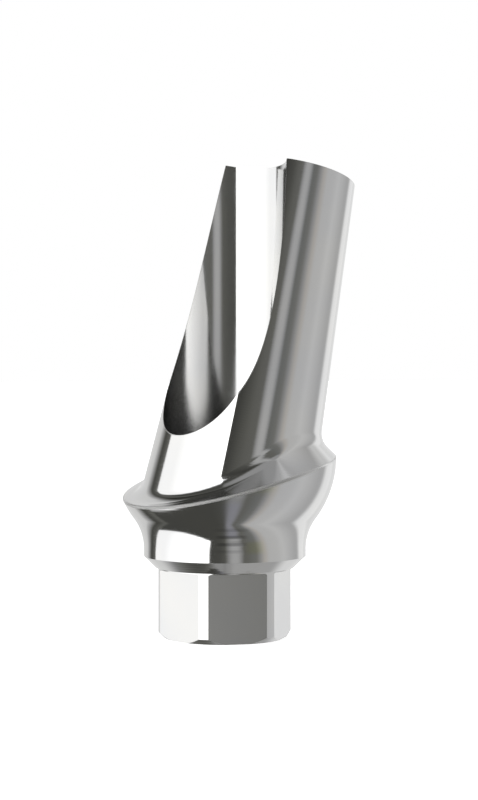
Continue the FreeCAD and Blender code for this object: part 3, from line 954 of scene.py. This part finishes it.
# %% [markdown]
# ### From numbers to a mesh
# The rings become a closed mesh. Each corner's normal is kept in an attribute of its own,
# because a Boolean cut carries such values over to the faces that it makes.

# %% Make a mesh with its normals
KEPT_NORMAL = "turned_normal"


def make_part(name, points, faces, corner_normals, *materials):
    mesh = bpy.data.meshes.new(name)
    mesh.from_pydata(points, [], faces)
    kept = mesh.attributes.new(KEPT_NORMAL, "FLOAT_VECTOR", "CORNER")
    kept.data.foreach_set("vector", np.asarray(corner_normals, dtype=np.float32).ravel())
    for material in materials:
        mesh.materials.append(material)
    made = bpy.data.objects.new(name, mesh)
    bpy.context.scene.collection.objects.link(made)
    return made


def stack_part(name, stack, above, below, caps, *materials):
    # Joins rings into a closed part, with a flat cap at each end of the last material.
    count = len(stack[0])
    faces, corner_normals = [], []
    for row in range(len(stack) - 1):
        here, under = row * count, (row + 1) * count
        top, bottom = below[row], above[row + 1]
        for i in range(count):
            j = (i + 1) % count
            faces.append((here + i, under + i, under + j))
            faces.append((here + i, under + j, here + j))
            corner_normals += [top[i], bottom[i], bottom[j], top[i], bottom[j], top[j]]
    last = (len(stack) - 1) * count
    faces += [tuple(range(count)), tuple(reversed(range(last, last + count)))]
    corner_normals += [caps[0]] * count + [caps[1]] * count
    made = make_part(name, np.vstack(stack), faces, corner_normals, *materials)
    for cap in made.data.polygons[-2:]:
        cap.material_index = len(materials) - 1
    return made


print("mesh helpers ready")

# %% [markdown]
# ### The skin, and how worn and shaded its margin is
# The margin was eased by hand a little all round. Along the front it also gets painted
# shade, a darker and duller colour that dims the softbox's highlight on the rounded edge.
# An attribute on the mesh tells the finish how much. A painted mask could do the same, but
# the rings of the margin are known, so their points are simply given a number.

# %% Join the rings into the skin
MOST_WORN_AND_SHADED_AT, LEAST_BROKEN = math.radians(-145.0), 0.15
skin = stack_part("abutment_skin", rings, normals_above, normals_below, (END_NORMAL, -UP),
                  polished, milled)
margin_wear_and_shade = skin.data.attributes.new("margin_wear_and_shade", "FLOAT", "POINT")
# The front gets the most: painted shade that dims the highlight on the margin's edge.
front = np.clip((np.cos(azimuths - MOST_WORN_AND_SHADED_AT) - 0.3) / 0.5, 0.0, 1.0)
margin_wear_and_shade_rows = np.zeros((len(rings), COLUMNS), dtype=np.float32)
margin_wear_and_shade_rows[margin_rows] = LEAST_BROKEN + (1 - LEAST_BROKEN) * front
margin_wear_and_shade.data.foreach_set("value", margin_wear_and_shade_rows.ravel())
print("skin has", len(skin.data.polygons), "faces before the cuts")

# %% [markdown]
# ### The channel
# The screw's channel, the seat for the screw's head and the hole below are bored from one
# side, so one turned cutter stands for all three. Its normals point inward, because what
# the cutter leaves behind is the wall of a bore.

# %% Channel cutter
CHANNEL_RADIUS, SEAT_TOP, HOLE_RADIUS, SEAT_FOOT = 1.24, 2.10, 0.95, 1.81
WELL_ABOVE, WELL_BELOW = 11.0, -1.0
CHANNEL_SECTION = [(CHANNEL_RADIUS, WELL_ABOVE), (CHANNEL_RADIUS, SEAT_TOP),
                   (HOLE_RADIUS, SEAT_FOOT), (HOLE_RADIUS, WELL_BELOW)]
CUTTER_COLUMNS = 240
spokes = np.linspace(0, 2 * math.pi, CUTTER_COLUMNS, endpoint=False)
spoke = np.stack([np.cos(spokes), np.sin(spokes), np.zeros(CUTTER_COLUMNS)], axis=1)
cutter_rings = [radius * spoke + height * UP for radius, height in CHANNEL_SECTION]
wall, cone = -spoke, unit(UP - spoke)
channel_cutter = stack_part("channel_cutter", cutter_rings, [wall, wall, cone, wall],
                            [wall, cone, wall, wall], (-UP, UP), bored)
print("channel cutter is %.2f mm across" % (2 * CHANNEL_RADIUS))

# %% [markdown]
# ### The hexagon
# Six flats are milled into the round foot. The mill has rounded corners, and they leave
# the round corner where each flat ends below the seat cone. Six blocks with that profile,
# turned by 60 degrees each, are gathered in one mesh.

# %% Flat cutters
FLAT_DISTANCE, FLAT_TOP, FLAT_CORNER, FLAT_SPARE = 1.21, 1.375, 0.07, 0.013
BLOCK_OUTSIDE = 2.0
FLAT_HALF = math.sqrt(CORNER_RADIUS ** 2 - FLAT_DISTANCE ** 2) + FLAT_SPARE
quarter_turn = [math.radians(15 * i) for i in range(7)]
profile = [(-FLAT_HALF, WELL_BELOW, -1, 0), (FLAT_HALF, WELL_BELOW, 1, 0)]
for side, corner_turns in ((1, quarter_turn), (-1, reversed(quarter_turn))):
    for corner_turn in corner_turns:
        x, z = math.cos(corner_turn), math.sin(corner_turn)
        profile.append((side * (FLAT_HALF - FLAT_CORNER * (1 - x)),
                        FLAT_TOP - FLAT_CORNER * (1 - z), side * x, z))
points, faces, corner_normals = [], [], []
count = len(profile)
for side in range(6):
    bearing_of_flat = math.radians(60 * side)
    out = np.array((math.cos(bearing_of_flat), math.sin(bearing_of_flat), 0.0))
    along = np.array((-out[1], out[0], 0.0))
    base = len(points)
    for distance in (FLAT_DISTANCE, BLOCK_OUTSIDE):
        points += [distance * out + a * along + z * UP for a, z, _, _ in profile]
    edge_normals = [-(x * along + z * UP) for _, _, x, z in profile]
    faces.append(tuple(base + i for i in reversed(range(count))))
    faces.append(tuple(base + count + i for i in range(count)))
    corner_normals += [out] * count + [-out] * count
    for i in range(count):
        j = (i + 1) % count
        faces.append((base + i, base + j, base + count + j, base + count + i))
        corner_normals += [edge_normals[i], edge_normals[j], edge_normals[j], edge_normals[i]]
flat_cutters = make_part("flat_cutters", points, faces, corner_normals, milled)
print("hexagon is %.2f mm across its flats" % (2 * FLAT_DISTANCE))

# %% [markdown]
# ### The cuts
# The Boolean modifier's exact solver takes both cutters away and leaves clean edges. Its
# faces bring the cutter's material and the kept normals with them. Those normals then
# become the mesh's own, so even a new sliver of a face shades like the true surface.

# %% Cut, then set the normals
for cutter in (channel_cutter, flat_cutters):
    cut = skin.modifiers.new(cutter.name, "BOOLEAN")
    cut.operation = "DIFFERENCE"
    cut.solver = "EXACT"
    cut.material_mode = "TRANSFER"
    cut.object = cutter
bpy.context.view_layer.update()
evaluated = skin.evaluated_get(bpy.context.evaluated_depsgraph_get())
finished = bpy.data.meshes.new_from_object(evaluated)
skin.modifiers.clear()
skin.data = finished
for cutter in (channel_cutter, flat_cutters):
    bpy.data.objects.remove(cutter)
kept_normals = finished.attributes[KEPT_NORMAL]
exact = np.empty(3 * len(finished.loops), dtype=np.float32)
kept_normals.data.foreach_get("vector", exact)
finished.attributes.remove(kept_normals)
finished.transform(Matrix.Scale(MM, 4))
finished.polygons.foreach_set("use_smooth", [True] * len(finished.polygons))
finished.normals_split_custom_set(unit(exact.reshape(-1, 3)))
print("skin has", len(finished.polygons), "faces after the cuts")

# %% [markdown]
# ### Does the skin fit the solid?
# A finer skin is only fair if it lies where the solid lies. For every corner of the solid
# the nearest place on the skin is looked up. Then the skin takes the solid's place in the
# picture and moves with its body.

# %% How far is the skin from the solid?
finished.update()
tree_of_skin = BVHTree.FromObject(skin, bpy.context.evaluated_depsgraph_get())
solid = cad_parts["abutment"]
gaps = [tree_of_skin.find_nearest(v.co)[3] / MM for v in solid.data.vertices]
print("largest distance from the solid's corners: %.4f mm" % max(gaps))
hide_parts("abutment")
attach(skin, "root")
